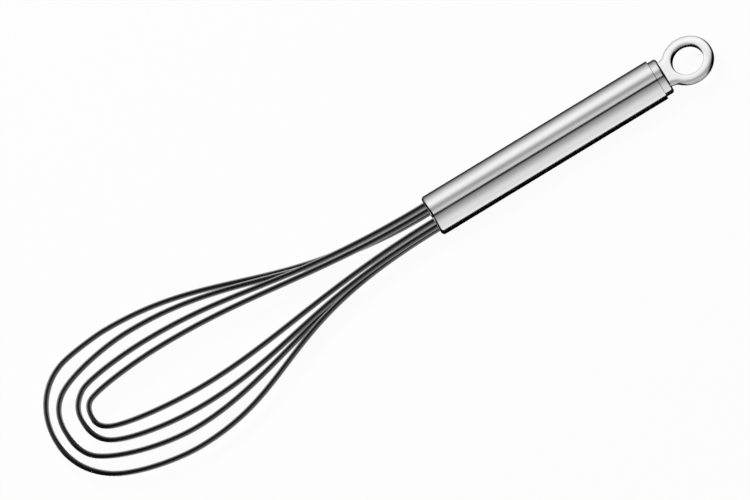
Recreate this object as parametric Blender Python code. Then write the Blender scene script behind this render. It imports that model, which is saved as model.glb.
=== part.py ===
# Flat whisk: four nested loops of coated spring wire, held in a round steel handle tube
# that is closed by an end cap with a flat hanging ring.
# Units are metres. +X runs along the handle from the loops' tip to the hanging ring,
# +Z is the normal of the flat head, and the handle tube lies on the plane z = 0.
import math
from itertools import accumulate

import bmesh
import bpy
from mathutils import Vector
from mathutils.geometry import interpolate_bezier

MM = 0.001

# Handle tube
TUBE_LENGTH = 92.8 * MM
TUBE_DIAMETER = 15.4 * MM
TUBE_WALL = 0.6 * MM
TUBE_LIP_ROUND = 0.2 * MM
MOUTH_ROUND = 1.3 * MM  # the tube's mouth is rolled in over the wires

# End cap: a plug seated in the rear of the tube, with its outer end standing proud
CAP_SEAT_DEPTH = 8.0 * MM
CAP_PROUD = 3.2 * MM
CAP_CORNER_ROUND = 0.9 * MM

# Hanging ring: a flat eye with a neck that flares into it, on a tang let into the cap
RING_OUTER_DIAMETER = 19.0 * MM
RING_HOLE_DIAMETER = 11.4 * MM
RING_THICKNESS = 1.9 * MM
RING_RISE = 0.4 * MM  # how far the ring's middle plane lies above the tube's axis
RING_EDGE_ROUND = 0.5 * MM
RING_HOLE_ROUND = 0.3 * MM
NECK_TO_CAP_EDGE = 1.4 * MM
NECK_FLARE_RADIUS = 3.8 * MM
TANG_DEPTH = 3.0 * MM

# Wires: a steel core in a soft coat
CORE_DIAMETER = 1.4 * MM
COAT_THICKNESS = 0.25 * MM
COAT_CLEARANCE = 0.1 * MM
WIRE_GAP = 0.3 * MM

# Inside the mouth: a plug around the cores, then the plate that the cores are headed on
PLUG_RECESS = 1.2 * MM
PLUG_LENGTH = 8.0 * MM
ANCHOR_THICKNESS = 3.0 * MM
HEAD_LIP = 0.35 * MM
HEAD_LENGTH = 1.0 * MM
HEAD_CHAMFER = 0.25 * MM
INSERT_CHAMFER = 0.25 * MM
BUNDLE_SPREAD = 0.54  # share of the tube's free room that parts the two wire bundles

# Clearances
SEAT_GAP = 0.25 * MM
FACE_GAP = 0.3 * MM
BORE_GAP = 0.15 * MM

# Loops, innermost first. Each list starts with the innermost loop's own size and goes on
# with what the next loop adds to it. The upper branch is on +Y, the lower one on -Y.
REACH_STEPS = [138.7 * MM, 3.6 * MM, 7.1 * MM, 4.5 * MM]
UPPER_BELLY_STEPS = [105.4 * MM, 3.9 * MM, 3.3 * MM, 7.4 * MM]
LOWER_BELLY_STEPS = [98.3 * MM, 3.9 * MM, 6.2 * MM, 2.1 * MM]
UPPER_WIDTH_STEPS = [11.5 * MM, 5.0 * MM, 7.9 * MM, 5.3 * MM]
LOWER_WIDTH_STEPS = [10.9 * MM, 6.6 * MM, 4.9 * MM, 7.3 * MM]
TIP_OFFSETS = [1.0 * MM, 2.3 * MM, 3.3 * MM, 2.6 * MM]

# Shoulders, where a branch turns in to the tip: how far short of the loop's reach, how far
# off the axis, and how steeply the wire runs in there, in degrees
UPPER_SHOULDERS = [
    (3.2 * MM, 7.8 * MM, 26),
    (5.6 * MM, 12.6 * MM, 35),
    (6.7 * MM, 17.4 * MM, 34),
    (15.5 * MM, 27.1 * MM, 20),
]
LOWER_SHOULDERS = [
    (4.4 * MM, 5.7 * MM, 26),
    (4.5 * MM, 9.7 * MM, 41),
    (5.4 * MM, 11.7 * MM, 40),
    (10.6 * MM, 20.3 * MM, 39),
]

# Fullness of the neck's curve, as shares of the way from the mouth to the belly: first from
# the mouth, then from the belly
UPPER_NECKS = [(0.46, 0.35), (0.52, 0.35), (0.47, 0.37), (0.49, 0.39)]
LOWER_NECKS = [(0.49, 0.30), (0.50, 0.35), (0.49, 0.29), (0.59, 0.36)]

# Fullness of the flanks and of the tips, as shares of the way to the corner of their tangents:
# a flank's at the belly and at the shoulder, a tip's at the shoulder and at the loop's end
UPPER_FLANKS = [(0.53, 0.53), (0.53, 0.53), (0.53, 0.53), (0.35, 0.54)]
LOWER_FLANKS = [(0.53, 0.53), (0.53, 0.53), (0.53, 0.53), (0.53, 0.53)]
UPPER_TIPS = [(0.66, 0.66), (0.66, 0.66), (0.66, 0.66), (0.71, 0.48)]
LOWER_TIPS = [(0.66, 0.66), (0.66, 0.66), (0.66, 0.66), (0.66, 0.66)]

# Where a branch passes its neighbours in the neck it rides over or under them, in wire pitches
UPPER_NESTS = [0.19, 0.12, 0.15, -0.63]
LOWER_NESTS = [-0.21, 0.24, -0.67, 0.33]

# Mesh detail: the handle lies on one flat of its turned sides
TURNED_SIDES = 28
BORE_SIDES = 10
RING_SIDES = 48
HOLE_SIDES = 36
COAT_SIDES = 10
CORE_SIDES = 6
NECK_POINTS = 11
FLANK_POINTS = 5
TIP_POINTS = 8
ROUND_STEPS = 3
MOUTH_STEPS = 4
LIP_STEPS = 2
CHAMFER_STEPS = 1
CUT_MARGIN = 1.0 * MM
WELD = 0.001 * MM

# Sizes that follow from the ones above
TUBE_RADIUS = TUBE_DIAMETER / 2
TUBE_BORE = TUBE_RADIUS - TUBE_WALL
INSERT_RADIUS = TUBE_BORE - SEAT_GAP
CORE_RADIUS = CORE_DIAMETER / 2
COAT_BORE = CORE_RADIUS + COAT_CLEARANCE
COAT_RADIUS = COAT_BORE + COAT_THICKNESS
PITCH = 2 * COAT_RADIUS + WIRE_GAP
RING_RADIUS = RING_OUTER_DIAMETER / 2
NECK_HALF_WIDTH = INSERT_RADIUS - NECK_TO_CAP_EDGE
CAP_FACE = TUBE_LENGTH + CAP_PROUD
RING_SETBACK = math.sqrt(
    (RING_RADIUS + NECK_FLARE_RADIUS) ** 2 - (NECK_HALF_WIDTH + NECK_FLARE_RADIUS) ** 2
)
ANCHOR_FRONT = PLUG_RECESS + PLUG_LENGTH + FACE_GAP
ANCHOR_BACK = ANCHOR_FRONT + ANCHOR_THICKNESS

# Columns of wires at the mouth: two on each side of the middle, parted by the spread
TIGHT_BUNDLE_RADIUS = math.hypot(1.5 * PITCH, 0.5 * PITCH) + COAT_RADIUS
INNER_COLUMN = 0.5 * PITCH + BUNDLE_SPREAD * (TUBE_BORE - TIGHT_BUNDLE_RADIUS)
OUTER_COLUMN = INNER_COLUMN + PITCH

# Loops 1 and 2 are the front row and loops 3 and 4 the back row
REACHES = list(accumulate(REACH_STEPS))
COLUMNS = [INNER_COLUMN, OUTER_COLUMN, INNER_COLUMN, OUTER_COLUMN]
ROWS = [PITCH / 2, PITCH / 2, -PITCH / 2, -PITCH / 2]

# The mouth's place on X puts the middle of the whole length at x = 0
HEAD_TIP_TO_MOUTH = REACHES[-1] + COAT_RADIUS
MOUTH_TO_RING_END = CAP_FACE + RING_SETBACK + RING_RADIUS
MOUTH_X = (HEAD_TIP_TO_MOUTH - MOUTH_TO_RING_END) / 2
AXIS_Z = TUBE_RADIUS
MOUTH = Vector((MOUTH_X, 0.0, AXIS_Z))
RING_CENTRE = MOUTH + Vector((CAP_FACE + RING_SETBACK, 0.0, RING_RISE))


def clear_scene():
    for obj in list(bpy.data.objects):
        bpy.data.objects.remove(obj, do_unlink=True)


def principled(name, colour, roughness, metallic):
    material = bpy.data.materials.new(name)
    material.use_nodes = True
    shader = material.node_tree.nodes["Principled BSDF"]
    shader.inputs["Base Color"].default_value = (*colour, 1.0)
    shader.inputs["Roughness"].default_value = roughness
    shader.inputs["Metallic"].default_value = metallic
    material.diffuse_color = (*colour, 1.0)
    return material


def new_object(name, mesh_data, place, material, parent):
    """Turns a bmesh into a named, smooth-shaded object at a place in the whisk's frame."""
    bmesh.ops.recalc_face_normals(mesh_data, faces=mesh_data.faces)
    mesh = bpy.data.meshes.new(name)
    mesh_data.to_mesh(mesh)
    mesh_data.free()
    mesh.shade_smooth()
    mesh.set_sharp_from_angle(angle=math.radians(40))
    obj = bpy.data.objects.new(name, mesh)
    bpy.context.scene.collection.objects.link(obj)
    obj.location = place
    obj.parent = parent
    if material:
        mesh.materials.append(material)
    return obj


def arc(centre, radius, start, end, steps=ROUND_STEPS):
    """Points on a circle about centre, from the start angle to the end angle in degrees."""
    angles = [math.radians(start + (end - start) * i / steps) for i in range(steps + 1)]
    return [(centre[0] + radius * math.cos(a), centre[1] + radius * math.sin(a)) for a in angles]


def turned_mesh(profile, sides, closed=False):
    """A solid of revolution about the local X axis, from (x, radius) points.

    The radius reaches to the middle of its flats, and one of them lies straight below."""
    shape = bmesh.new()
    half_flat = math.tan(math.pi / sides)
    points = [shape.verts.new((x, radius * half_flat, radius)) for x, radius in profile]
    pairs = list(zip(points, points[1:]))
    if closed:
        pairs.append((points[-1], points[0]))
    edges = [shape.edges.new(pair) for pair in pairs]
    bmesh.ops.spin(
        shape,
        geom=points + edges,
        cent=(0.0, 0.0, 0.0),
        axis=(1.0, 0.0, 0.0),
        angle=2 * math.pi,
        steps=sides,
        use_merge=True,
    )
    bmesh.ops.remove_doubles(shape, verts=shape.verts, dist=WELD)
    return shape


def swept_mesh(stations, sides, bore=0.0):
    """A round bar through (point, radius) stations, or a tube where a bore radius is given."""
    shape = bmesh.new()
    centres = [point for point, _ in stations]
    last = len(centres) - 1
    skins = [[], []] if bore else [[]]
    for i, (centre, radius) in enumerate(stations):
        along = (centres[min(i + 1, last)] - centres[max(i - 1, 0)]).normalized()
        side = along.cross(Vector((0.0, 0.0, 1.0))).normalized()
        up = side.cross(along)
        for skin, size in zip(skins, (radius, bore)):
            turns = [2 * math.pi * k / sides for k in range(sides)]
            ring = [centre + size * (math.cos(a) * side + math.sin(a) * up) for a in turns]
            skin.append([shape.verts.new(point) for point in ring])
    for skin in skins:
        for first, second in zip(skin, skin[1:]):
            for k in range(sides):
                n = (k + 1) % sides
                shape.faces.new((first[k], first[n], second[n], second[k]))
    for end in (0, -1):
        if not bore:
            shape.faces.new(skins[0][end])
            continue
        outer, inner = skins[0][end], skins[1][end]
        for k in range(sides):
            n = (k + 1) % sides
            shape.faces.new((outer[k], outer[n], inner[n], inner[k]))
    return shape


def cut(obj, cutter):
    """Takes the cutter out of the object with an exact Boolean, and keeps the cutter unrendered."""
    cutter.hide_render = True
    cutter.display_type = "WIRE"
    boolean = obj.modifiers.new(cutter.name, "BOOLEAN")
    boolean.operation = "DIFFERENCE"
    boolean.solver = "EXACT"
    boolean.object = cutter


def branch_route(loop, side):
    """One branch of a loop from the mouth to its tip: side +1 is the upper one, -1 the lower one.

    Places are relative to the centre of the tube's mouth."""
    upper = side > 0
    to_belly = list(accumulate(UPPER_BELLY_STEPS if upper else LOWER_BELLY_STEPS))[loop]
    half_width = list(accumulate(UPPER_WIDTH_STEPS if upper else LOWER_WIDTH_STEPS))[loop]
    short, out, angle = (UPPER_SHOULDERS if upper else LOWER_SHOULDERS)[loop]
    from_mouth, from_belly = (UPPER_NECKS if upper else LOWER_NECKS)[loop]
    belly_flank, shoulder_flank = (UPPER_FLANKS if upper else LOWER_FLANKS)[loop]
    shoulder_tip, end_tip = (UPPER_TIPS if upper else LOWER_TIPS)[loop]
    nest = (UPPER_NESTS if upper else LOWER_NESTS)[loop] * PITCH
    to_tip = REACHES[loop]
    row = ROWS[loop]
    slope = math.tan(math.radians(angle))
    mouth = Vector((0.0, side * COLUMNS[loop], row))
    belly = Vector((-to_belly, side * half_width, row))
    shoulder = Vector((short - to_tip, side * out, row))
    tip = Vector((-to_tip, TIP_OFFSETS[loop], row))

    # The shoulder's tangent meets the belly's and the tip's in two corners
    flank_corner = Vector((shoulder.x + (half_width - out) / slope, side * half_width, row))
    tip_corner = Vector((-to_tip, side * (out - short * slope), row))
    neck_curve = interpolate_bezier(
        mouth,
        mouth - Vector((from_mouth * to_belly, 0.0, 0.0)),
        belly + Vector((from_belly * to_belly, 0.0, 0.0)),
        belly,
        NECK_POINTS,
    )
    flank_curve = interpolate_bezier(
        belly,
        belly.lerp(flank_corner, belly_flank),
        shoulder.lerp(flank_corner, shoulder_flank),
        shoulder,
        FLANK_POINTS,
    )
    tip_curve = interpolate_bezier(
        shoulder,
        shoulder.lerp(tip_corner, shoulder_tip),
        tip.lerp(tip_corner, end_tip),
        tip,
        TIP_POINTS,
    )
    for point in neck_curve:
        point.z += nest * math.sin(math.pi * point.x / to_belly) ** 2
    return neck_curve + flank_curve[1:] + tip_curve[1:]


def loop_route(loop):
    """The whole loop, from the mouth along the upper branch and back along the lower one."""
    upper = branch_route(loop, 1)
    lower = branch_route(loop, -1)
    return upper + lower[-2::-1]


def with_ends(route, end_sizes):
    """Adds the straight ends in the tube: end_sizes are (x, radius), outermost first."""
    first, last = route[0], route[-1]
    start = [(Vector((x, first.y, first.z)), radius) for x, radius in end_sizes]
    end = [(Vector((x, last.y, last.z)), radius) for x, radius in end_sizes[::-1]]
    radius = end_sizes[-1][1]
    return start + [(point, radius) for point in route] + end


def make_handle_tube(parent, material):
    """The tube, with a rolled-in mouth and small rounds on its rear edge."""
    roll_centre = (MOUTH_ROUND, TUBE_RADIUS - MOUTH_ROUND)
    back = TUBE_LENGTH - TUBE_LIP_ROUND
    outer = TUBE_RADIUS - TUBE_LIP_ROUND
    inner = TUBE_BORE + TUBE_LIP_ROUND
    profile = [
        *arc(roll_centre, MOUTH_ROUND, 180, 90, MOUTH_STEPS),
        *arc((back, outer), TUBE_LIP_ROUND, 90, 0, LIP_STEPS),
        *arc((back, inner), TUBE_LIP_ROUND, 0, -90, LIP_STEPS),
        *arc(roll_centre, MOUTH_ROUND - TUBE_WALL, 90, 180, MOUTH_STEPS),
    ]
    shape = turned_mesh(profile, TURNED_SIDES, closed=True)
    return new_object("handle_tube", shape, MOUTH, material, parent)


def insert_mesh(length, back_round, back_steps):
    """A round insert for the tube's bore, from local x = 0: chamfered in front, rounded behind."""
    front = INSERT_CHAMFER
    profile = [
        (0.0, 0.0),
        *arc((front, INSERT_RADIUS - front), front, 180, 90, CHAMFER_STEPS),
        *arc((length - back_round, INSERT_RADIUS - back_round), back_round, 90, 0, back_steps),
        (length, 0.0),
    ]
    return turned_mesh(profile, TURNED_SIDES)


def make_wire_bores(name, place, depth, parent):
    """A cutter of eight rods, one on each wire end's line, through a depth from a place."""
    shape = bmesh.new()
    radius = CORE_RADIUS + BORE_GAP
    for loop, column in enumerate(COLUMNS):
        for side in (1, -1):
            ends = [
                (Vector((-CUT_MARGIN, side * column, ROWS[loop])), radius),
                (Vector((depth + CUT_MARGIN, side * column, ROWS[loop])), radius),
            ]
            rod = swept_mesh(ends, BORE_SIDES)
            rod_mesh = bpy.data.meshes.new(name + "_rod")
            rod.to_mesh(rod_mesh)
            rod.free()
            shape.from_mesh(rod_mesh)
            bpy.data.meshes.remove(rod_mesh)
    return new_object(name, shape, place, None, parent)


def make_mouth_plug(parent, material):
    place = MOUTH + Vector((PLUG_RECESS, 0.0, 0.0))
    shape = insert_mesh(PLUG_LENGTH, INSERT_CHAMFER, CHAMFER_STEPS)
    plug = new_object("mouth_plug", shape, place, material, parent)
    cut(plug, make_wire_bores("plug_bores", place, PLUG_LENGTH, parent))
    return plug


def make_anchor_plate(parent, material):
    place = MOUTH + Vector((ANCHOR_FRONT, 0.0, 0.0))
    shape = insert_mesh(ANCHOR_THICKNESS, INSERT_CHAMFER, CHAMFER_STEPS)
    plate = new_object("anchor_plate", shape, place, material, parent)
    cut(plate, make_wire_bores("anchor_bores", place, ANCHOR_THICKNESS, parent))
    return plate


def make_end_cap(parent, material):
    """The plug that closes the tube, with a slot in its face for the ring's tang."""
    place = MOUTH + Vector((TUBE_LENGTH - CAP_SEAT_DEPTH, 0.0, 0.0))
    length = CAP_SEAT_DEPTH + CAP_PROUD
    shape = insert_mesh(length, CAP_CORNER_ROUND, ROUND_STEPS)
    cap = new_object("end_cap", shape, place, material, parent)

    slot = bmesh.new()
    bmesh.ops.create_cube(slot, size=1.0)
    slot_depth = TANG_DEPTH + FACE_GAP
    slot_length = slot_depth + CUT_MARGIN
    slot_width = 2 * (NECK_HALF_WIDTH + SEAT_GAP)
    slot_height = RING_THICKNESS + 2 * SEAT_GAP
    bmesh.ops.scale(slot, vec=(slot_length, slot_width, slot_height), verts=slot.verts)
    slot_middle = MOUTH + Vector((CAP_FACE - slot_depth + slot_length / 2, 0.0, RING_RISE))
    cut(cap, new_object("tang_slot", slot, slot_middle, None, parent))
    return cap


def ring_outline():
    """The eye with its flared neck and tang, counter-clockwise about the eye's centre."""
    tang_end = -RING_SETBACK - TANG_DEPTH
    flare_y = NECK_HALF_WIDTH + NECK_FLARE_RADIUS
    meet = math.degrees(math.atan2(flare_y, -RING_SETBACK))
    eye = arc((0.0, 0.0), RING_RADIUS, -meet, meet, RING_SIDES)
    upper_flare = arc((-RING_SETBACK, flare_y), NECK_FLARE_RADIUS, meet - 180, -90)
    upper = upper_flare[1:] + [(tang_end, NECK_HALF_WIDTH)]
    lower = [(x, -y) for x, y in upper[::-1]]
    return eye + upper + lower


def make_hanging_ring(parent, material):
    shape = bmesh.new()
    half = RING_THICKNESS / 2
    face = shape.faces.new([shape.verts.new((x, y, -half)) for x, y in ring_outline()])
    extruded = bmesh.ops.extrude_face_region(shape, geom=[face])["geom"]
    top = [item for item in extruded if isinstance(item, bmesh.types.BMVert)]
    bmesh.ops.translate(shape, verts=top, vec=(0.0, 0.0, RING_THICKNESS))
    flat_edges = [e for e in shape.edges if abs(e.verts[0].co.z - e.verts[1].co.z) < WELD]
    bmesh.ops.bevel(
        shape,
        geom=flat_edges,
        offset=RING_EDGE_ROUND,
        offset_type="OFFSET",
        segments=ROUND_STEPS,
        profile=0.5,
        affect="EDGES",
    )
    ring = new_object("hanging_ring", shape, RING_CENTRE, material, parent)

    hole = RING_HOLE_DIAMETER / 2
    rounded = RING_HOLE_ROUND
    mouth = half + CUT_MARGIN
    profile = [
        (-mouth, 0.0),
        (-mouth, hole + rounded),
        *arc((-half + rounded, hole + rounded), rounded, 180, 270),
        *arc((half - rounded, hole + rounded), rounded, 270, 360),
        (mouth, hole + rounded),
        (mouth, 0.0),
    ]
    hole_shape = turned_mesh(profile, HOLE_SIDES)
    cutter = new_object("ring_hole", hole_shape, RING_CENTRE, None, parent)
    cutter.rotation_euler = (0.0, math.radians(-90), 0.0)
    cut(ring, cutter)
    return ring


def make_wire_core(loop, parent, material):
    """A spring wire bent to the loop, with its ends headed behind the anchor plate."""
    head = CORE_RADIUS + HEAD_LIP
    head_front = ANCHOR_BACK + FACE_GAP
    head_back = head_front + HEAD_LENGTH
    end_sizes = [
        (head_back, head - HEAD_CHAMFER),
        (head_back - HEAD_CHAMFER, head),
        (head_front + HEAD_CHAMFER, head),
        (head_front, CORE_RADIUS),
        (ANCHOR_FRONT, CORE_RADIUS),
    ]
    shape = swept_mesh(with_ends(loop_route(loop), end_sizes), CORE_SIDES)
    return new_object(f"wire_core_{loop + 1}", shape, MOUTH, material, parent)


def make_wire_coat(loop, parent, material):
    """The soft coat over the core, from the plug's face round the loop and back."""
    end_sizes = [(PLUG_RECESS - FACE_GAP, COAT_RADIUS)]
    shape = swept_mesh(with_ends(loop_route(loop), end_sizes), COAT_SIDES, bore=COAT_BORE)
    return new_object(f"wire_coat_{loop + 1}", shape, MOUTH, material, parent)


def make_whisk():
    whisk = bpy.data.objects.new("flat_whisk", None)
    bpy.context.scene.collection.objects.link(whisk)
    satin_steel = principled("satin_steel", (0.78, 0.78, 0.78), 0.28, 1.0)
    ring_steel = principled("ring_steel", (0.88, 0.88, 0.88), 0.30, 1.0)
    cap_steel = principled("cap_steel", (0.74, 0.74, 0.74), 0.30, 1.0)
    anchor_steel = principled("anchor_steel", (0.55, 0.55, 0.55), 0.45, 1.0)
    plug_plastic = principled("plug_plastic", (0.03, 0.03, 0.03), 0.60, 0.0)
    spring_steel = principled("spring_steel", (0.62, 0.62, 0.62), 0.35, 1.0)
    black_silicone = principled("black_silicone", (0.012, 0.012, 0.012), 0.42, 0.0)
    make_handle_tube(whisk, satin_steel)
    make_end_cap(whisk, cap_steel)
    make_hanging_ring(whisk, ring_steel)
    make_mouth_plug(whisk, plug_plastic)
    make_anchor_plate(whisk, anchor_steel)
    for loop in range(len(REACHES)):
        make_wire_core(loop, whisk, spring_steel)
        make_wire_coat(loop, whisk, black_silicone)


clear_scene()
make_whisk()
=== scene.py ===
import math
from itertools import accumulate

import bmesh
import bpy
from mathutils import Matrix, Vector
from mathutils.geometry import interpolate_bezier


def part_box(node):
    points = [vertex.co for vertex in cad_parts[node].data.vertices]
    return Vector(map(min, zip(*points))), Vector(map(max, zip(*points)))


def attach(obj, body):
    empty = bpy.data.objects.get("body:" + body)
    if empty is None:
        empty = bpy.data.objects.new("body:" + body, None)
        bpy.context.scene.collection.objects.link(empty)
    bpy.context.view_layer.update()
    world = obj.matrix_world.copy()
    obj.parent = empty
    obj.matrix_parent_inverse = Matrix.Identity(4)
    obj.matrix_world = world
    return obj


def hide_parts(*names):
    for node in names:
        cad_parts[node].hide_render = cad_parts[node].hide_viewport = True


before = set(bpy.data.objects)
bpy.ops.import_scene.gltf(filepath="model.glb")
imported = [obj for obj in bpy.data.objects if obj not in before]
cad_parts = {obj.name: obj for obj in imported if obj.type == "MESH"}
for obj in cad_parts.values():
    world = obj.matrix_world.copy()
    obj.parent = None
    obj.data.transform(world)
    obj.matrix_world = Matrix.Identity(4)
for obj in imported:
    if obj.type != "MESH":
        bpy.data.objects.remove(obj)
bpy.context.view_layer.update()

mm = 0.001
weld = 0.0005 * mm  # points closer than this are one

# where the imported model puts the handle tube
tubeLow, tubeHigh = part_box("handle_tube")
mouthX, tubeBackX = tubeLow.x, tubeHigh.x
tubeRadius = (tubeHigh.z - tubeLow.z) / 2
axisZ = (tubeHigh.z + tubeLow.z) / 2
tubeWall = 0.6 * mm
tubeBore = tubeRadius - tubeWall


# camera

cameraView = {
    "lean": 28.0,  # degrees from straight above towards -Y
    "roll": 31.27,  # degrees that the handle rises in the picture
    "aim": (-3.13 * mm, 0.33 * mm, 7.875 * mm),
    "width": 263.8 * mm,  # what the picture spans at the aim
    "lens": 900.0,  # long, so that the picture is nearly parallel
    "sensor": 36.0,
    "clipStart": 0.1,
    "clipReach": 4.0,  # times the camera's distance
}


def addCamera():
    lean = math.radians(cameraView["lean"])
    roll = math.radians(cameraView["roll"])
    across = Vector((1.0, 0.0, 0.0))
    above = Vector((0.0, math.cos(lean), math.sin(lean)))
    back = Vector((0.0, -math.sin(lean), math.cos(lean)))
    right = math.cos(roll) * across - math.sin(roll) * above
    up = math.sin(roll) * across + math.cos(roll) * above
    data = bpy.data.cameras.new("camera")
    data.lens = cameraView["lens"]
    data.sensor_width = cameraView["sensor"]
    distance = cameraView["width"] * data.lens / data.sensor_width
    data.clip_start = cameraView["clipStart"]
    data.clip_end = cameraView["clipReach"] * distance
    camera = bpy.data.objects.new("camera", data)
    turn = Matrix((right, up, back)).transposed().to_4x4()
    place = Vector(cameraView["aim"]) + back * distance
    camera.matrix_world = Matrix.Translation(place) @ turn
    bpy.context.scene.collection.objects.link(camera)
    bpy.context.scene.camera = camera
    print("camera stands", round(distance, 2), "m away")


# light tent, lamps, floor and backdrop

lightTent = {
    "radius": 1.2,
    "halfLength": 1.1,
    "sides": 96,
    # the panels fade to the dark ends between these shares of their reach along the tent
    "fade": (0.5, 1.0),
    # degrees from straight above towards +Y, brightness, reach in metres
    "panels": [
        (-136, 0.0, 1.15),  # black base under the object
        (-131, 1.1, 1.15),  # front wall
        (-116, 0.96, 1.15),
        (-98, 0.89, 1.15),
        (-90, 0.94, 1.15),
        (-72, 0.78, 1.15),
        (-60, 0.58, 1.15),
        (-40, 0.33, 1.15),
        (-33.5, 0.23, 1.15),
        (-32, 0.0, 0.72),  # gap for the lens
        (-23.5, 0.0, 0.72),
        (-20, 0.76, 0.72),  # roof
        (-12, 0.74, 0.72),
        (2, 0.43, 0.72),
        (10, 0.45, 0.72),
        (16, 0.64, 0.86),
        (26, 1.0, 1.15),  # main softbox
        (38, 1.16, 1.15),
        (52, 1.06, 1.15),
        (68, 0.78, 1.15),
        (86, 0.47, 1.15),
        (95, 0.34, 1.15),
        (106, 0.13, 1.15),  # back wall
        (120, 0.03, 1.15),
        (128, 0.0, 1.15),
    ],
}

lamps = {
    "dome": 0.1,  # even light on what isn't a reflection
    # two low lamps give the coated wires the pale edges along the handle and leave the tips dark
    "farEdge": {"place": (-0.4, 1.45, 0.0), "size": 0.2, "power": 70.0, "shadow": False},
    "nearEdge": {"place": (0.75, -1.05, -0.58), "size": 0.2, "power": 66.0, "shadow": False},
    "overhead": {"place": (-0.1, 0.5, 1.3), "size": 0.8, "power": 16.0, "shadow": True},
}

floorFinish = {
    "reach": 12.0,
    "segments": 8,
    "albedo": 0.75,
    "shadowShare": 0.05,  # how much of the real light and shadow the picture shows on it
}


def turnFraction(degrees):
    return degrees / 360.0 + 0.5


def tentMaterial():
    material = bpy.data.materials.new("lightTent")
    material.use_nodes = True
    material.cycles.emission_sampling = "NONE"
    nodes, links = material.node_tree.nodes, material.node_tree.links
    nodes.clear()
    output = nodes.new("ShaderNodeOutputMaterial")
    emission = nodes.new("ShaderNodeEmission")
    place = nodes.new("ShaderNodeTexCoord")
    axes = nodes.new("ShaderNodeSeparateXYZ")
    links.new(place.outputs["Object"], axes.inputs["Vector"])

    angle = nodes.new("ShaderNodeMath")
    angle.operation = "ARCTAN2"
    links.new(axes.outputs["Y"], angle.inputs[0])
    links.new(axes.outputs["Z"], angle.inputs[1])
    fraction = nodes.new("ShaderNodeMath")
    fraction.operation = "MULTIPLY_ADD"
    links.new(angle.outputs["Value"], fraction.inputs[0])
    fraction.inputs[1].default_value = 1 / (2 * math.pi)
    fraction.inputs[2].default_value = 0.5
    ramp = nodes.new("ShaderNodeValToRGB")
    links.new(fraction.outputs["Value"], ramp.inputs["Fac"])
    stops = ramp.color_ramp.elements
    while len(stops) > 1:
        stops.remove(stops[-1])
    for number, (degrees, level, reach) in enumerate(lightTent["panels"]):
        stop = stops[0] if number == 0 else stops.new(turnFraction(degrees))
        stop.position = turnFraction(degrees)
        stop.color = (level, level, level, reach)

    length = nodes.new("ShaderNodeMath")
    length.operation = "ABSOLUTE"
    links.new(axes.outputs["X"], length.inputs[0])
    share = nodes.new("ShaderNodeMath")
    share.operation = "DIVIDE"
    links.new(length.outputs["Value"], share.inputs[0])
    links.new(ramp.outputs["Alpha"], share.inputs[1])
    fade = nodes.new("ShaderNodeMapRange")
    fade.interpolation_type = "SMOOTHSTEP"
    links.new(share.outputs["Value"], fade.inputs["Value"])
    fade.inputs["From Min"].default_value = lightTent["fade"][0]
    fade.inputs["From Max"].default_value = lightTent["fade"][1]
    fade.inputs["To Min"].default_value = 1.0
    fade.inputs["To Max"].default_value = 0.0

    links.new(ramp.outputs["Color"], emission.inputs["Color"])
    links.new(fade.outputs["Result"], emission.inputs["Strength"])
    links.new(emission.outputs["Emission"], output.inputs["Surface"])
    return material


def addLightTent():
    shape = bmesh.new()
    half, radius, sides = lightTent["halfLength"], lightTent["radius"], lightTent["sides"]
    rings = []
    for x in (-half, half):
        around = [(radius * math.sin(a), radius * math.cos(a)) for a in evenTurns(sides)]
        rings.append([shape.verts.new((x, y, z)) for y, z in around])
    for k in range(sides):
        n = (k + 1) % sides
        shape.faces.new((rings[0][k], rings[0][n], rings[1][n], rings[1][k]))
    shape.faces.new(rings[0])
    shape.faces.new(rings[1])
    tent = meshObject("lightTent", shape, tentMaterial())
    tent.location = (0.0, 0.0, axisZ)
    # only reflections see the tent: the picture, the lamps and the shadows pass through it
    tent.visible_camera = False
    tent.visible_diffuse = False
    tent.visible_transmission = False
    tent.visible_volume_scatter = False
    tent.visible_shadow = False


def addWorld():
    world = bpy.data.worlds.new("world")
    bpy.context.scene.world = world
    world.use_nodes = True
    world.cycles_visibility.glossy = False
    nodes, links = world.node_tree.nodes, world.node_tree.links
    background = nodes["Background"]
    background.inputs["Color"].default_value = (1.0, 1.0, 1.0, 1.0)
    path = nodes.new("ShaderNodeLightPath")
    level = nodes.new("ShaderNodeMapRange")
    links.new(path.outputs["Is Camera Ray"], level.inputs["Value"])
    level.inputs["To Min"].default_value = lamps["dome"]
    level.inputs["To Max"].default_value = 1.0
    links.new(level.outputs["Result"], background.inputs["Strength"])


def addLamp(name):
    lamp = lamps[name]
    data = bpy.data.lights.new(name, "AREA")
    data.shape = "DISK"
    data.size = lamp["size"]
    data.energy = lamp["power"]
    item = bpy.data.objects.new(name, data)
    item.location = lamp["place"]
    item.rotation_euler = (-Vector(lamp["place"])).to_track_quat("-Z", "Y").to_euler()
    item.visible_glossy = False
    data.use_shadow = lamp["shadow"]
    bpy.context.scene.collection.objects.link(item)
    return item


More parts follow.
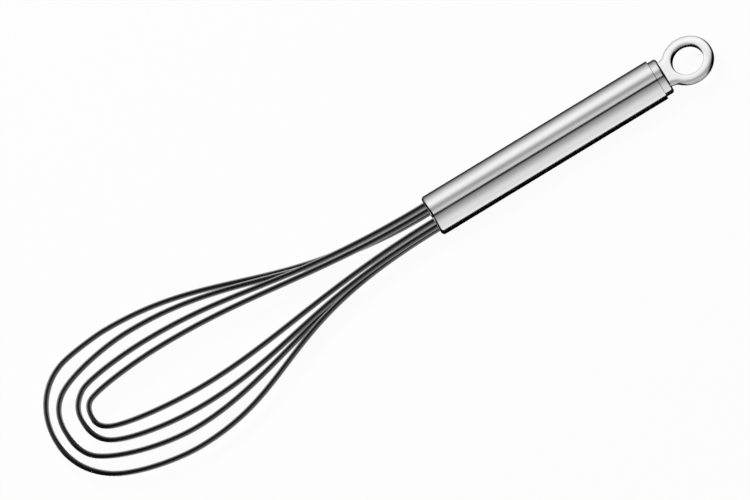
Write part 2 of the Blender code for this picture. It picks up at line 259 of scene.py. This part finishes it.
def addFloor():
    material = bpy.data.materials.new("paleFloor")
    material.use_nodes = True
    nodes, links = material.node_tree.nodes, material.node_tree.links
    nodes.clear()
    output = nodes.new("ShaderNodeOutputMaterial")
    matte = nodes.new("ShaderNodeBsdfDiffuse")
    albedo = floorFinish["albedo"]
    matte.inputs["Color"].default_value = (albedo, albedo, albedo, 1.0)
    white = nodes.new("ShaderNodeEmission")
    path = nodes.new("ShaderNodeLightPath")
    share = nodes.new("ShaderNodeMath")
    share.operation = "MULTIPLY"
    links.new(path.outputs["Is Camera Ray"], share.inputs[0])
    share.inputs[1].default_value = 1 - floorFinish["shadowShare"]
    mix = nodes.new("ShaderNodeMixShader")
    links.new(share.outputs["Value"], mix.inputs["Fac"])
    links.new(matte.outputs["BSDF"], mix.inputs[1])
    links.new(white.outputs["Emission"], mix.inputs[2])
    links.new(mix.outputs["Shader"], output.inputs["Surface"])

    shape = bmesh.new()
    segments = floorFinish["segments"]
    bmesh.ops.create_grid(shape, x_segments=segments, y_segments=segments, size=floorFinish["reach"])
    floor = meshObject("floor", shape, material)
    floor.visible_glossy = False
    floor.visible_diffuse = False
    return floor


# shared mesh helpers


def meshObject(name, shape, material, sharpAngle=40):
    bmesh.ops.recalc_face_normals(shape, faces=shape.faces)
    data = bpy.data.meshes.new(name)
    shape.to_mesh(data)
    shape.free()
    data.shade_smooth()
    data.set_sharp_from_angle(angle=math.radians(sharpAngle))
    if material:
        data.materials.append(material)
    item = bpy.data.objects.new(name, data)
    bpy.context.scene.collection.objects.link(item)
    return item


def evenTurns(sides):
    return [2 * math.pi * k / sides for k in range(sides)]


def arcPoints(centre, radius, start, end, steps):
    turns = [math.radians(start + (end - start) * i / steps) for i in range(steps + 1)]
    return [(centre[0] + radius * math.cos(a), centre[1] + radius * math.sin(a)) for a in turns]


def spunShape(profile, sides, closed=False):
    # (x, radius) points turned about the handle's axis
    shape = bmesh.new()
    points = [shape.verts.new((x, 0.0, radius)) for x, radius in profile]
    pairs = list(zip(points, points[1:]))
    if closed:
        pairs.append((points[-1], points[0]))
    edges = [shape.edges.new(pair) for pair in pairs]
    bmesh.ops.spin(
        shape,
        geom=points + edges,
        cent=(0.0, 0.0, 0.0),
        axis=(1.0, 0.0, 0.0),
        angle=2 * math.pi,
        steps=sides,
        use_merge=True,
    )
    bmesh.ops.remove_doubles(shape, verts=shape.verts, dist=weld)
    bmesh.ops.translate(shape, verts=shape.verts, vec=(0.0, 0.0, axisZ))
    return shape


def stand(piece, node):
    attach(piece, "root")
    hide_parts(node)


# shared material helpers

noiseRange = (0.3, 0.7)  # where most of a noise texture's values lie


def grey(level):
    return (level, level, level)


class Finish:
    # a Principled material with short calls for its procedural nodes
    def __init__(self, name, looks, metallic):
        self.material = bpy.data.materials.new(name)
        self.material.use_nodes = True
        self.nodes = self.material.node_tree.nodes
        self.links = self.material.node_tree.links
        self.shader = self.nodes["Principled BSDF"]
        self.shader.inputs["Metallic"].default_value = metallic
        # plain values for a viewer that leaves the nodes out
        self.shader.inputs["Base Color"].default_value = (*grey(looks["colour"][1]), 1.0)
        self.shader.inputs["Roughness"].default_value = looks["roughness"][0]
        self.place = self.nodes.new("ShaderNodeTexCoord").outputs["Object"]

    def stretched(self, scale):
        mapping = self.nodes.new("ShaderNodeMapping")
        mapping.inputs["Scale"].default_value = scale
        self.links.new(self.place, mapping.inputs["Vector"])
        return mapping.outputs["Vector"]

    def noise(self, vector, scale, detail=2.0, roughness=0.5):
        noise = self.nodes.new("ShaderNodeTexNoise")
        noise.inputs["Scale"].default_value = scale
        noise.inputs["Detail"].default_value = detail
        noise.inputs["Roughness"].default_value = roughness
        self.links.new(vector, noise.inputs["Vector"])
        return noise.outputs["Fac"]

    def spread(self, value, low, high):
        spread = self.nodes.new("ShaderNodeMapRange")
        spread.inputs["From Min"].default_value = noiseRange[0]
        spread.inputs["From Max"].default_value = noiseRange[1]
        spread.inputs["To Min"].default_value = low
        spread.inputs["To Max"].default_value = high
        self.links.new(value, spread.inputs["Value"])
        return spread.outputs["Result"]

    def math(self, operation, first, second):
        node = self.nodes.new("ShaderNodeMath")
        node.operation = operation
        for socket, value in zip(node.inputs, (first, second)):
            if isinstance(value, (int, float)):
                socket.default_value = value
            else:
                self.links.new(value, socket)
        return node.outputs["Value"]

    def blend(self, value, low, high):
        mix = self.nodes.new("ShaderNodeMix")
        mix.data_type = "RGBA"
        mix.inputs["A"].default_value = (*low, 1.0)
        mix.inputs["B"].default_value = (*high, 1.0)
        self.links.new(value, mix.inputs["Factor"])
        return mix.outputs["Result"]

    def setGreys(self, marks, levels):
        low, high = (grey(level) for level in levels)
        output = self.blend(self.spread(marks, 0.0, 1.0), low, high)
        self.links.new(output, self.shader.inputs["Base Color"])

    def setRoughness(self, output):
        self.links.new(output, self.shader.inputs["Roughness"])

    def setBump(self, height, depth):
        bump = self.nodes.new("ShaderNodeBump")
        bump.inputs["Distance"].default_value = depth
        bump.inputs["Strength"].default_value = 1.0
        self.links.new(height, bump.inputs["Height"])
        self.links.new(bump.outputs["Normal"], self.shader.inputs["Normal"])


# handle tube

handleTube = {
    "sides": 192,
    "mouthRound": 1.3 * mm,  # the mouth is rolled in
    "lipRound": 0.12 * mm,
    "backRound": 0.22 * mm,
    "mouthSteps": 16,
    "lipSteps": 3,
    "backSteps": 4,
    "bandEvery": 4.0 * mm,  # length of the mesh bands along the tube
    "colour": (0.76, 0.80),
    "roughness": (0.12, 0.14),
    # marks per metre along the tube, and across it both ways
    "grain": (60.0, 5200.0, 5200.0),
    "handling": (60.0, 140.0, 140.0),
    "handlingWear": 0.015,  # how much smoother or duller handling leaves it
}


def tubeSteel():
    finish = Finish("satinSteel", handleTube, 1.0)
    grain = finish.noise(finish.stretched(handleTube["grain"]), 1.0, detail=3.0, roughness=0.6)
    handling = finish.noise(finish.stretched(handleTube["handling"]), 1.0, detail=3.0)
    finish.setGreys(handling, handleTube["colour"])
    satin = finish.spread(grain, *handleTube["roughness"])
    worn = finish.spread(handling, -handleTube["handlingWear"], handleTube["handlingWear"])
    finish.setRoughness(finish.math("ADD", satin, worn))
    return finish.material


def makeHandleTube(steel):
    roll, lip, back = handleTube["mouthRound"], handleTube["lipRound"], handleTube["backRound"]
    rollSteps, lipSteps = handleTube["mouthSteps"], handleTube["lipSteps"]
    rollCentre = (mouthX + roll, tubeRadius - roll)
    lipRadius = tubeRadius - roll
    length = tubeBackX - back - mouthX - roll
    bands = round(length / handleTube["bandEvery"])
    places = [mouthX + roll + length * i / bands for i in range(1, bands)]
    profile = [
        *arcPoints(rollCentre, roll, 180, 90, rollSteps),
        *[(x, tubeRadius) for x in places],
        *arcPoints((tubeBackX - back, tubeRadius - back), back, 90, 0, handleTube["backSteps"]),
        *arcPoints((tubeBackX - lip, tubeBore + lip), lip, 0, -90, lipSteps),
        *[(x, tubeBore) for x in places[::-1]],
        *arcPoints(rollCentre, roll - tubeWall, 90, 180, rollSteps // 2),
        *arcPoints((mouthX + tubeWall - lip, lipRadius), lip, 0, -90, lipSteps)[1:],
        *arcPoints((mouthX + lip, lipRadius), lip, -90, -180, lipSteps)[:-1],
    ]
    tube = meshObject("handleTube", spunShape(profile, handleTube["sides"], closed=True), steel)
    stand(tube, "handle_tube")


# end cap

endCap = {
    "sides": 160,
    "cornerRound": 1.0 * mm,
    "frontRound": 0.3 * mm,
    "seatGap": 0.25 * mm,
    "slotGap": 0.12 * mm,
    "cornerSteps": 10,
    "frontSteps": 3,
    "sideBands": 10,
    "faceBands": 6,
    "colour": (0.72, 0.78),
    "roughness": (0.12, 0.20),
    "turnedLines": 9000.0,  # lathe marks per metre
    "lineDepth": 0.0015 * mm,
    "stains": 220.0,  # per metre
}


def capSteel():
    finish = Finish("capSteel", endCap, 1.0)
    # lathe marks run round the handle's axis: they follow the place along it and the distance from it
    axes = finish.nodes.new("ShaderNodeSeparateXYZ")
    finish.links.new(finish.place, axes.inputs["Vector"])
    height = finish.math("SUBTRACT", axes.outputs["Z"], axisZ)
    squares = [finish.math("POWER", side, 2.0) for side in (axes.outputs["Y"], height)]
    away = finish.math("POWER", finish.math("ADD", *squares), 0.5)
    line = finish.nodes.new("ShaderNodeCombineXYZ")
    finish.links.new(finish.math("MULTIPLY", axes.outputs["X"], endCap["turnedLines"]), line.inputs["X"])
    finish.links.new(finish.math("MULTIPLY", away, endCap["turnedLines"]), line.inputs["Y"])
    turned = finish.noise(line.outputs["Vector"], 1.0, detail=2.0)
    stains = finish.noise(finish.place, endCap["stains"], detail=3.0)
    finish.setGreys(stains, endCap["colour"])
    finish.setRoughness(finish.spread(turned, *endCap["roughness"]))
    finish.setBump(turned, endCap["lineDepth"])
    return finish.material


def makeEndCap(steel):
    low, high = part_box("end_cap")
    radius = tubeBore - endCap["seatGap"]
    corner, front = endCap["cornerRound"], endCap["frontRound"]
    bands, rings = endCap["sideBands"], endCap["faceBands"]
    length = high.x - low.x - corner - front
    profile = [
        (low.x, 0.0),
        *arcPoints((low.x + front, radius - front), front, 180, 90, endCap["frontSteps"]),
        *[(low.x + front + length * i / bands, radius) for i in range(1, bands)],
        *arcPoints((high.x - corner, radius - corner), corner, 90, 0, endCap["cornerSteps"]),
        *[(high.x, (radius - corner) * (1 - i / rings)) for i in range(1, rings)],
        (high.x, 0.0),
    ]
    cap = meshObject("endCap", spunShape(profile, endCap["sides"]), steel)
    slot = tangSlot()
    boolean = cap.modifiers.new("slot", "BOOLEAN")
    boolean.solver = "EXACT"
    boolean.object = slot
    carved = cap.evaluated_get(bpy.context.evaluated_depsgraph_get())
    cap.data = bpy.data.meshes.new_from_object(carved)
    cap.modifiers.clear()
    bpy.data.objects.remove(slot)
    stand(cap, "end_cap")


def tangSlot():
    # the room in the cap's face for the ring's tang
    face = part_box("end_cap")[1].x
    gap = endCap["slotGap"]
    depth = face - ringLow.x + gap
    width = 2 * (hangingRing["neckHalfWidth"] + gap)
    height = ringHigh.z - ringLow.z + 2 * gap
    shape = bmesh.new()
    bmesh.ops.create_cube(shape, size=1.0)
    # the cutter stands as far out of the face as it reaches in
    bmesh.ops.scale(shape, vec=(2 * depth, width, height), verts=shape.verts)
    bmesh.ops.translate(shape, verts=shape.verts, vec=(face, 0.0, ringCentre.z))
    return meshObject("tangSlot", shape, None)


# hanging ring

hangingRing = {
    "outerRadius": 9.5 * mm,
    "rimWear": 0.05 * mm,  # what polishing took off the rim
    "holeRadius": 5.75 * mm,
    "holeOffset": 0.06 * mm,  # the hole is punched a little off the middle, towards +Y
    "holeTaper": 0.08 * mm,  # and is wider in front than behind
    "neckHalfWidth": 5.45 * mm,
    "flareRadius": 3.8 * mm,
    # the section from the flat face outwards: each arc's radius, the slope where it ends, its steps
    "rim": [(5.4 * mm, 17, 9), (2.2 * mm, 26, 3), (0.6 * mm, 50, 4), (0.25 * mm, 88, 5)],
    "holeEdge": [(3.4 * mm, 12, 6), (0.3 * mm, 25, 2), (2.6 * mm, 30, 3), (0.1 * mm, 90, 5)],
    "holeBackEdge": [(0.06 * mm, 90, 4)],
    "wallBand": 0.06 * mm,  # the band of the upright wall that keeps its shading flat
    "eyeSteps": 144,
    "flareSteps": 16,
    "colour": (0.81, 0.85),
    "roughness": (0.11, 0.16),
    "grain": 2600.0,  # tumbling marks and clouds per metre
    "clouds": 260.0,
    "grainDepth": 0.0008 * mm,
}
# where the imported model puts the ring, and the middle of its eye
ringLow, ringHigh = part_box("hanging_ring")
ringCentre = Vector((ringHigh.x - hangingRing["outerRadius"], 0.0, (ringHigh.z + ringLow.z) / 2))


def ringSteel():
    finish = Finish("ringSteel", hangingRing, 1.0)
    tumbled = finish.noise(finish.place, hangingRing["grain"], detail=4.0, roughness=0.6)
    clouds = finish.noise(finish.place, hangingRing["clouds"], detail=2.0)
    finish.setGreys(clouds, hangingRing["colour"])
    finish.setRoughness(finish.spread(tumbled, *hangingRing["roughness"]))
    finish.setBump(tumbled, hangingRing["grainDepth"])
    return finish.material


def ringOutline(inset):
    # the eye with its flared neck and tang, drawn in by an inset, counter-clockwise about the eye
    inset += hangingRing["rimWear"]
    outer = hangingRing["outerRadius"]
    flare = hangingRing["flareRadius"]
    neck = hangingRing["neckHalfWidth"]
    setback = math.sqrt((outer + flare) ** 2 - (neck + flare) ** 2)
    meet = math.degrees(math.atan2(neck + flare, -setback))
    tangEnd = ringLow.x - ringCentre.x
    eye = arcPoints((0.0, 0.0), outer - inset, -meet, meet, hangingRing["eyeSteps"])
    flareCentre = (-setback, neck + flare)
    flareArc = arcPoints(flareCentre, flare + inset, meet - 180, -90, hangingRing["flareSteps"])
    upper = flareArc[1:] + [(tangEnd + inset, neck - inset)]
    lower = [(x, -y) for x, y in upper[::-1]]
    return eye + upper + lower


def roundedSection(arcs, half):
    # (distance in from the edge, height) from the upright wall to the flat face
    across, drop, slope = 0.0, 0.0, 0.0
    points = [(0.0, 0.0)]
    for radius, end, steps in arcs:
        began = math.radians(slope)
        for i in range(1, steps + 1):
            turn = math.radians(slope + (end - slope) * i / steps)
            x = across + radius * (math.sin(turn) - math.sin(began))
            y = drop + radius * (math.cos(began) - math.cos(turn))
            points.append((x, y))
        across, drop = points[-1]
        slope = end
    points.append((across, drop + hangingRing["wallBand"]))
    return [(across - x, half - y) for x, y in points[::-1]]


def makeHangingRing(steel):
    shape = bmesh.new()
    half = (ringHigh.z - ringLow.z) / 2

    def ringOf(points, z):
        return [shape.verts.new((x, y, z)) for x, y in points]

    def skin(rings):
        for first, second in zip(rings, rings[1:]):
            for k in range(len(first)):
                n = (k + 1) % len(first)
                shape.faces.new((first[k], first[n], second[n], second[k]))

    def circle(inset):
        steps = hangingRing["eyeSteps"]
        centre = (0.0, hangingRing["holeOffset"])
        return arcPoints(centre, hangingRing["holeRadius"] + inset, 0, 360 - 360 / steps, steps - 1)

    skins = []
    rim, hole, holeBack = (hangingRing[name] for name in ("rim", "holeEdge", "holeBackEdge"))
    taper = hangingRing["holeTaper"]
    for outline, front, back, lean in ((ringOutline, rim, rim, 0.0), (circle, hole, holeBack, taper)):
        section = [(inset, -z) for inset, z in roundedSection(back, half)[::-1] if z > weld]
        section += roundedSection(front, half)
        skins.append([ringOf(outline(inset + lean * z / half), z) for inset, z in section])
        skin(skins[-1])
    rim, hole = skins
    for end in (0, -1):
        edges = []
        for ring in (rim[end], hole[end]):
            edges += [shape.edges.get((a, b)) for a, b in zip(ring, ring[1:] + ring[:1])]
        bmesh.ops.triangle_fill(shape, use_beauty=True, use_dissolve=False, edges=edges)
    bmesh.ops.translate(shape, verts=shape.verts, vec=ringCentre)
    ring = meshObject("hangingRing", shape, steel)
    stand(ring, "hanging_ring")


# wire loops

wireLoops = {
    "coatRadius": 1.045 * mm,
    "coatBore": 0.8 * mm,
    "pitch": 2.4 * mm,
    "innerColumn": 2.418 * mm,
    "coatEnd": 0.9 * mm,  # how far a coat reaches into the tube's mouth
    "sides": 20,
    "neckPoints": 70,
    "flankPoints": 16,
    "tipPoints": 60,
    # innermost loop first, and then what each next loop adds
    "reach": [138.7 * mm, 3.6 * mm, 7.1 * mm, 4.5 * mm],
    "upperBelly": [105.4 * mm, 3.9 * mm, 3.3 * mm, 7.4 * mm],
    "lowerBelly": [98.3 * mm, 3.9 * mm, 6.2 * mm, 2.1 * mm],
    "upperWidth": [11.5 * mm, 5.0 * mm, 7.9 * mm, 5.3 * mm],
    "lowerWidth": [10.9 * mm, 6.6 * mm, 4.9 * mm, 7.3 * mm],
    "tipOffset": [1.0 * mm, 2.3 * mm, 3.3 * mm, 2.6 * mm],
    # shoulders: how far short of the reach, how far off the axis, and the slope in degrees
    "upperShoulder": [
        (3.2 * mm, 7.8 * mm, 26),
        (5.6 * mm, 12.6 * mm, 35),
        (6.7 * mm, 17.4 * mm, 34),
        (15.5 * mm, 27.1 * mm, 20),
    ],
    "lowerShoulder": [
        (4.4 * mm, 5.7 * mm, 26),
        (4.5 * mm, 9.7 * mm, 41),
        (5.4 * mm, 11.7 * mm, 40),
        (10.6 * mm, 20.3 * mm, 39),
    ],
    # fullness of the neck's curve at the mouth and at the belly
    "upperNeck": [(0.46, 0.35), (0.52, 0.35), (0.47, 0.37), (0.49, 0.39)],
    "lowerNeck": [(0.49, 0.30), (0.50, 0.35), (0.49, 0.29), (0.59, 0.36)],
    # fullness of the curves from belly to shoulder and from shoulder to tip, at both their ends
    "upperFlank": [(0.53, 0.53), (0.53, 0.53), (0.53, 0.53), (0.35, 0.54)],
    "lowerFlank": [(0.53, 0.53)] * 4,
    "upperTip": [(0.66, 0.66), (0.66, 0.66), (0.66, 0.66), (0.71, 0.48)],
    "lowerTip": [(0.66, 0.66)] * 4,
    # how a branch rides over or under its neighbours in the neck, in pitches
    "upperNest": [0.19, 0.12, 0.15, -0.63],
    "lowerNest": [-0.21, 0.24, -0.67, 0.33],
}
loopCount = len(wireLoops["reach"])

silicone = {
    "colour": (0.0020, 0.0035),
    "roughness": (0.26, 0.34),
    "skin": 1400.0,  # marks in the skin and clouds per metre
    "clouds": 160.0,
    "skinDepth": 0.003 * mm,
    "specular": 0.2,
    "ior": 1.45,
    "sheen": 1.0,  # the soft bloom that pale light leaves along the edges of matt silicone
    "sheenRoughness": 0.5,
}


def blackSilicone():
    finish = Finish("blackSilicone", silicone, 0.0)
    finish.shader.inputs["Specular IOR Level"].default_value = silicone["specular"]
    finish.shader.inputs["IOR"].default_value = silicone["ior"]
    finish.shader.inputs["Sheen Weight"].default_value = silicone["sheen"]
    finish.shader.inputs["Sheen Roughness"].default_value = silicone["sheenRoughness"]
    skin = finish.noise(finish.place, silicone["skin"], detail=4.0, roughness=0.55)
    clouds = finish.noise(finish.place, silicone["clouds"], detail=2.0)
    finish.setGreys(clouds, silicone["colour"])
    finish.setRoughness(finish.spread(skin, *silicone["roughness"]))
    finish.setBump(skin, silicone["skinDepth"])
    return finish.material


def branchRoute(loop, side):
    # one branch of a loop from the mouth to the tip, side 1 above and -1 below, from the mouth's centre
    name = "upper" if side > 0 else "lower"
    # the inner two loops leave the mouth in the front row, and the outer two in the back row
    row = wireLoops["pitch"] / 2 * (1 if loop < loopCount // 2 else -1)
    column = wireLoops["innerColumn"] + wireLoops["pitch"] * (loop % 2)
    toTip = list(accumulate(wireLoops["reach"]))[loop]
    toBelly = list(accumulate(wireLoops[name + "Belly"]))[loop]
    halfWidth = list(accumulate(wireLoops[name + "Width"]))[loop]
    short, out, angle = wireLoops[name + "Shoulder"][loop]
    fromMouth, fromBelly = wireLoops[name + "Neck"][loop]
    bellyFlank, shoulderFlank = wireLoops[name + "Flank"][loop]
    shoulderTip, endTip = wireLoops[name + "Tip"][loop]
    nest = wireLoops[name + "Nest"][loop] * wireLoops["pitch"]
    slope = math.tan(math.radians(angle))
    mouth = Vector((0.0, side * column, row))
    belly = Vector((-toBelly, side * halfWidth, row))
    shoulder = Vector((short - toTip, side * out, row))
    tip = Vector((-toTip, wireLoops["tipOffset"][loop], row))
    # the shoulder's tangent meets the belly's and the tip's in two corners
    flankCorner = Vector((shoulder.x + (halfWidth - out) / slope, side * halfWidth, row))
    tipCorner = Vector((-toTip, side * (out - short * slope), row))
    neckCurve = interpolate_bezier(
        mouth,
        mouth - Vector((fromMouth * toBelly, 0.0, 0.0)),
        belly + Vector((fromBelly * toBelly, 0.0, 0.0)),
        belly,
        wireLoops["neckPoints"],
    )
    flankCurve = interpolate_bezier(
        belly,
        belly.lerp(flankCorner, bellyFlank),
        shoulder.lerp(flankCorner, shoulderFlank),
        shoulder,
        wireLoops["flankPoints"],
    )
    tipCurve = interpolate_bezier(
        shoulder,
        shoulder.lerp(tipCorner, shoulderTip),
        tip.lerp(tipCorner, endTip),
        tip,
        wireLoops["tipPoints"],
    )
    for point in neckCurve:
        point.z += nest * math.sin(math.pi * point.x / toBelly) ** 2
    return neckCurve + flankCurve[1:] + tipCurve[1:]


def loopRoute(loop):
    upper = branchRoute(loop, 1)
    lower = branchRoute(loop, -1)
    centre = Vector((mouthX, 0.0, axisZ))
    inside = Vector((wireLoops["coatEnd"], 0.0, 0.0))
    route = [upper[0] + inside, *upper, *lower[-2::-1], lower[0] + inside]
    return [centre + point for point in route]


def makeLoopCoat(loop, rubber):
    route = loopRoute(loop)
    sides = wireLoops["sides"]
    shape = bmesh.new()
    skins = {"coatRadius": [], "coatBore": []}
    last = len(route) - 1
    for i, centre in enumerate(route):
        along = (route[min(i + 1, last)] - route[max(i - 1, 0)]).normalized()
        side = along.cross(Vector((0.0, 0.0, 1.0))).normalized()
        up = side.cross(along)
        spokes = [math.cos(a) * side + math.sin(a) * up for a in evenTurns(sides)]
        for name, rings in skins.items():
            rings.append([shape.verts.new(centre + wireLoops[name] * spoke) for spoke in spokes])
    for rings in skins.values():
        for first, second in zip(rings, rings[1:]):
            for k in range(sides):
                n = (k + 1) % sides
                shape.faces.new((first[k], first[n], second[n], second[k]))
    for end in (0, -1):
        outer, inner = skins["coatRadius"][end], skins["coatBore"][end]
        for k in range(sides):
            n = (k + 1) % sides
            shape.faces.new((outer[k], outer[n], inner[n], inner[k]))
    coat = meshObject(f"loopCoat{loop + 1}", shape, rubber, sharpAngle=60)
    stand(coat, f"wire_coat_{loop + 1}")


# pieces inside the handle, which stay as packed and get their own finishes

innerPieces = {
    "plugPlastic": {
        "nodes": ["mouth_plug"],
        "metallic": 0.0,
        "colour": (0.020, 0.035),
        "roughness": (0.50, 0.64),
        "marks": (2500.0, 2500.0, 2500.0),  # per metre along X, Y and Z
        "depth": 0.006 * mm,
    },
    "anchorSteel": {
        "nodes": ["anchor_plate"],
        "metallic": 1.0,
        "colour": (0.48, 0.56),
        "roughness": (0.32, 0.46),
        "marks": (9000.0, 300.0, 3000.0),
        "depth": 0.003 * mm,
    },
    "springSteel": {
        "nodes": [f"wire_core_{loop + 1}" for loop in range(loopCount)],
        "metallic": 1.0,
        "colour": (0.55, 0.64),
        "roughness": (0.24, 0.36),
        "marks": (400.0, 4000.0, 4000.0),
        "depth": 0.002 * mm,
    },
}


def innerFinish(name, looks):
    finish = Finish(name, looks, looks["metallic"])
    marks = finish.noise(finish.stretched(looks["marks"]), 1.0, detail=3.0, roughness=0.6)
    finish.setGreys(marks, looks["colour"])
    finish.setRoughness(finish.spread(marks, *looks["roughness"]))
    finish.setBump(marks, looks["depth"])
    return finish.material


def dressInnerPieces():
    for name, looks in innerPieces.items():
        material = innerFinish(name, looks)
        for node in looks["nodes"]:
            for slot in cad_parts[node].material_slots:
                slot.material = material


bpy.context.scene.view_settings.view_transform = "Standard"
addCamera()
addWorld()
addLightTent()
addLamp("farEdge")
addLamp("nearEdge")
# the overhead lamp lights the floor alone, where the object's shadow falls
onlyFloor = bpy.data.collections.new("onlyFloor")
onlyFloor.objects.link(addFloor())
addLamp("overhead").light_linking.receiver_collection = onlyFloor
print("tent, lamps and floor are up")
makeHandleTube(tubeSteel())
makeEndCap(capSteel())
makeHangingRing(ringSteel())
print("handle, cap and ring are made")
coatRubber = blackSilicone()
for loopNumber in range(loopCount):
    makeLoopCoat(loopNumber, coatRubber)
print("loops are made")
dressInnerPieces()
